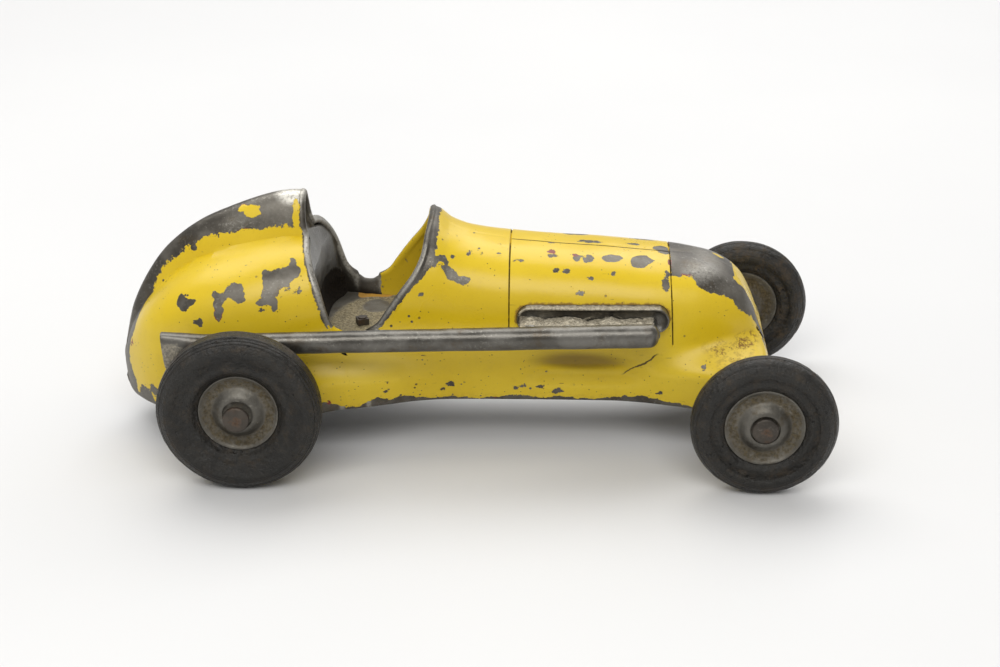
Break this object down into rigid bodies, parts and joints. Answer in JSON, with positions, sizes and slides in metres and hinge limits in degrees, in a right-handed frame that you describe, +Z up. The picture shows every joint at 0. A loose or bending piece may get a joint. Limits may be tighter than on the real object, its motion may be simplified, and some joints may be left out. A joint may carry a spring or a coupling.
{
  "type": "toy racing car",
  "caption": "Cast-metal toy racing car with an open cockpit, a head fairing on a pointed tail, a side exhaust, rubber tyres on metal hubs and a wind-up rear axle.",
  "frame": {"origin": "on the ground under the middle of the outline seen from above", "axes": "+X forward to the nose, +Y to the car's left, +Z up"},
  "size_m": [0.2411, 0.12, 0.0848],
  "materials": {
    "body_paint": "worn yellow gloss enamel over red-brown primer on cast metal",
    "pan_metal": "dull dark sheet",
    "floor_metal": "dusty, worn",
    "seat_metal": "bare, dull",
    "exhaust_metal": "bare, streaked",
    "hub_metal": "bare, grimy",
    "axle_steel": "satin",
    "screw_metal": "dull",
    "tyre_rubber": "old rubber with brown dust",
    "gear_brass": "satin",
    "spring_steel": "blued",
    "plate_steel": "satin"
  },
  "bodies": {
    "chassis": {"body_shell": "body_paint", "belly_pan": "pan_metal", "pan_screws": "screw_metal", "cockpit_floor": "floor_metal", "floor_post": "screw_metal", "floor_bolt": "screw_metal", "floor_nut": "screw_metal", "seat_back": "seat_metal", "exhaust": "exhaust_metal", "exhaust_screws": "screw_metal", "front_axle": "axle_steel", "front_washers": "screw_metal", "rear_bushes": "gear_brass", "rear_washers": "screw_metal", "mainspring": "spring_steel", "spring_post": "axle_steel", "motor_plate_left": "plate_steel", "motor_plate_right": "plate_steel", "motor_pillars": "axle_steel", "motor_pillar_screws": "screw_metal", "motor_foot_screws": "screw_metal"},
    "rear_axle_set": {"rear_axle": "axle_steel", "rear_left_hub": "hub_metal", "rear_left_tyre": "tyre_rubber", "rear_right_hub": "hub_metal", "rear_right_tyre": "tyre_rubber", "axle_pinion": "gear_brass"},
    "idler": {"idler_wheel": "gear_brass", "idler_pinion": "gear_brass", "idler_arbor": "axle_steel"},
    "spring_drive": {"spring_gear": "gear_brass", "spring_arbor": "axle_steel"},
    "front_left_wheel": {"front_left_hub": "hub_metal", "front_left_tyre": "tyre_rubber"},
    "front_right_wheel": {"front_right_hub": "hub_metal", "front_right_tyre": "tyre_rubber"}
  },
  "joints": [
    {"name": "rear_axle_spin", "type": "hinge", "parent": "chassis", "child": "rear_axle_set", "pos_m": [-0.0735, 0, 0.027], "axis": [0, 1, 0], "continuous": true},
    {"name": "idler_spin", "type": "hinge", "parent": "chassis", "child": "idler", "pos_m": [-0.08073, 0, 0.03732], "axis": [0, 1, 0], "continuous": true},
    {"name": "spring_spin", "type": "hinge", "parent": "chassis", "child": "spring_drive", "pos_m": [-0.0734, 0, 0.0511], "axis": [0, 1, 0], "continuous": true},
    {"name": "front_left_spin", "type": "hinge", "parent": "chassis", "child": "front_left_wheel", "pos_m": [0.0965, 0.0516, 0.024], "axis": [0, 1, 0], "continuous": true},
    {"name": "front_right_spin", "type": "hinge", "parent": "chassis", "child": "front_right_wheel", "pos_m": [0.0965, -0.0516, 0.024], "axis": [0, 1, 0], "continuous": true}
  ],
  "couplings": [
    {"joint": "idler_spin", "follows": "rear_axle_spin", "ratio": -0.5},
    {"joint": "spring_spin", "follows": "rear_axle_spin", "ratio": 0.15}
  ]
}
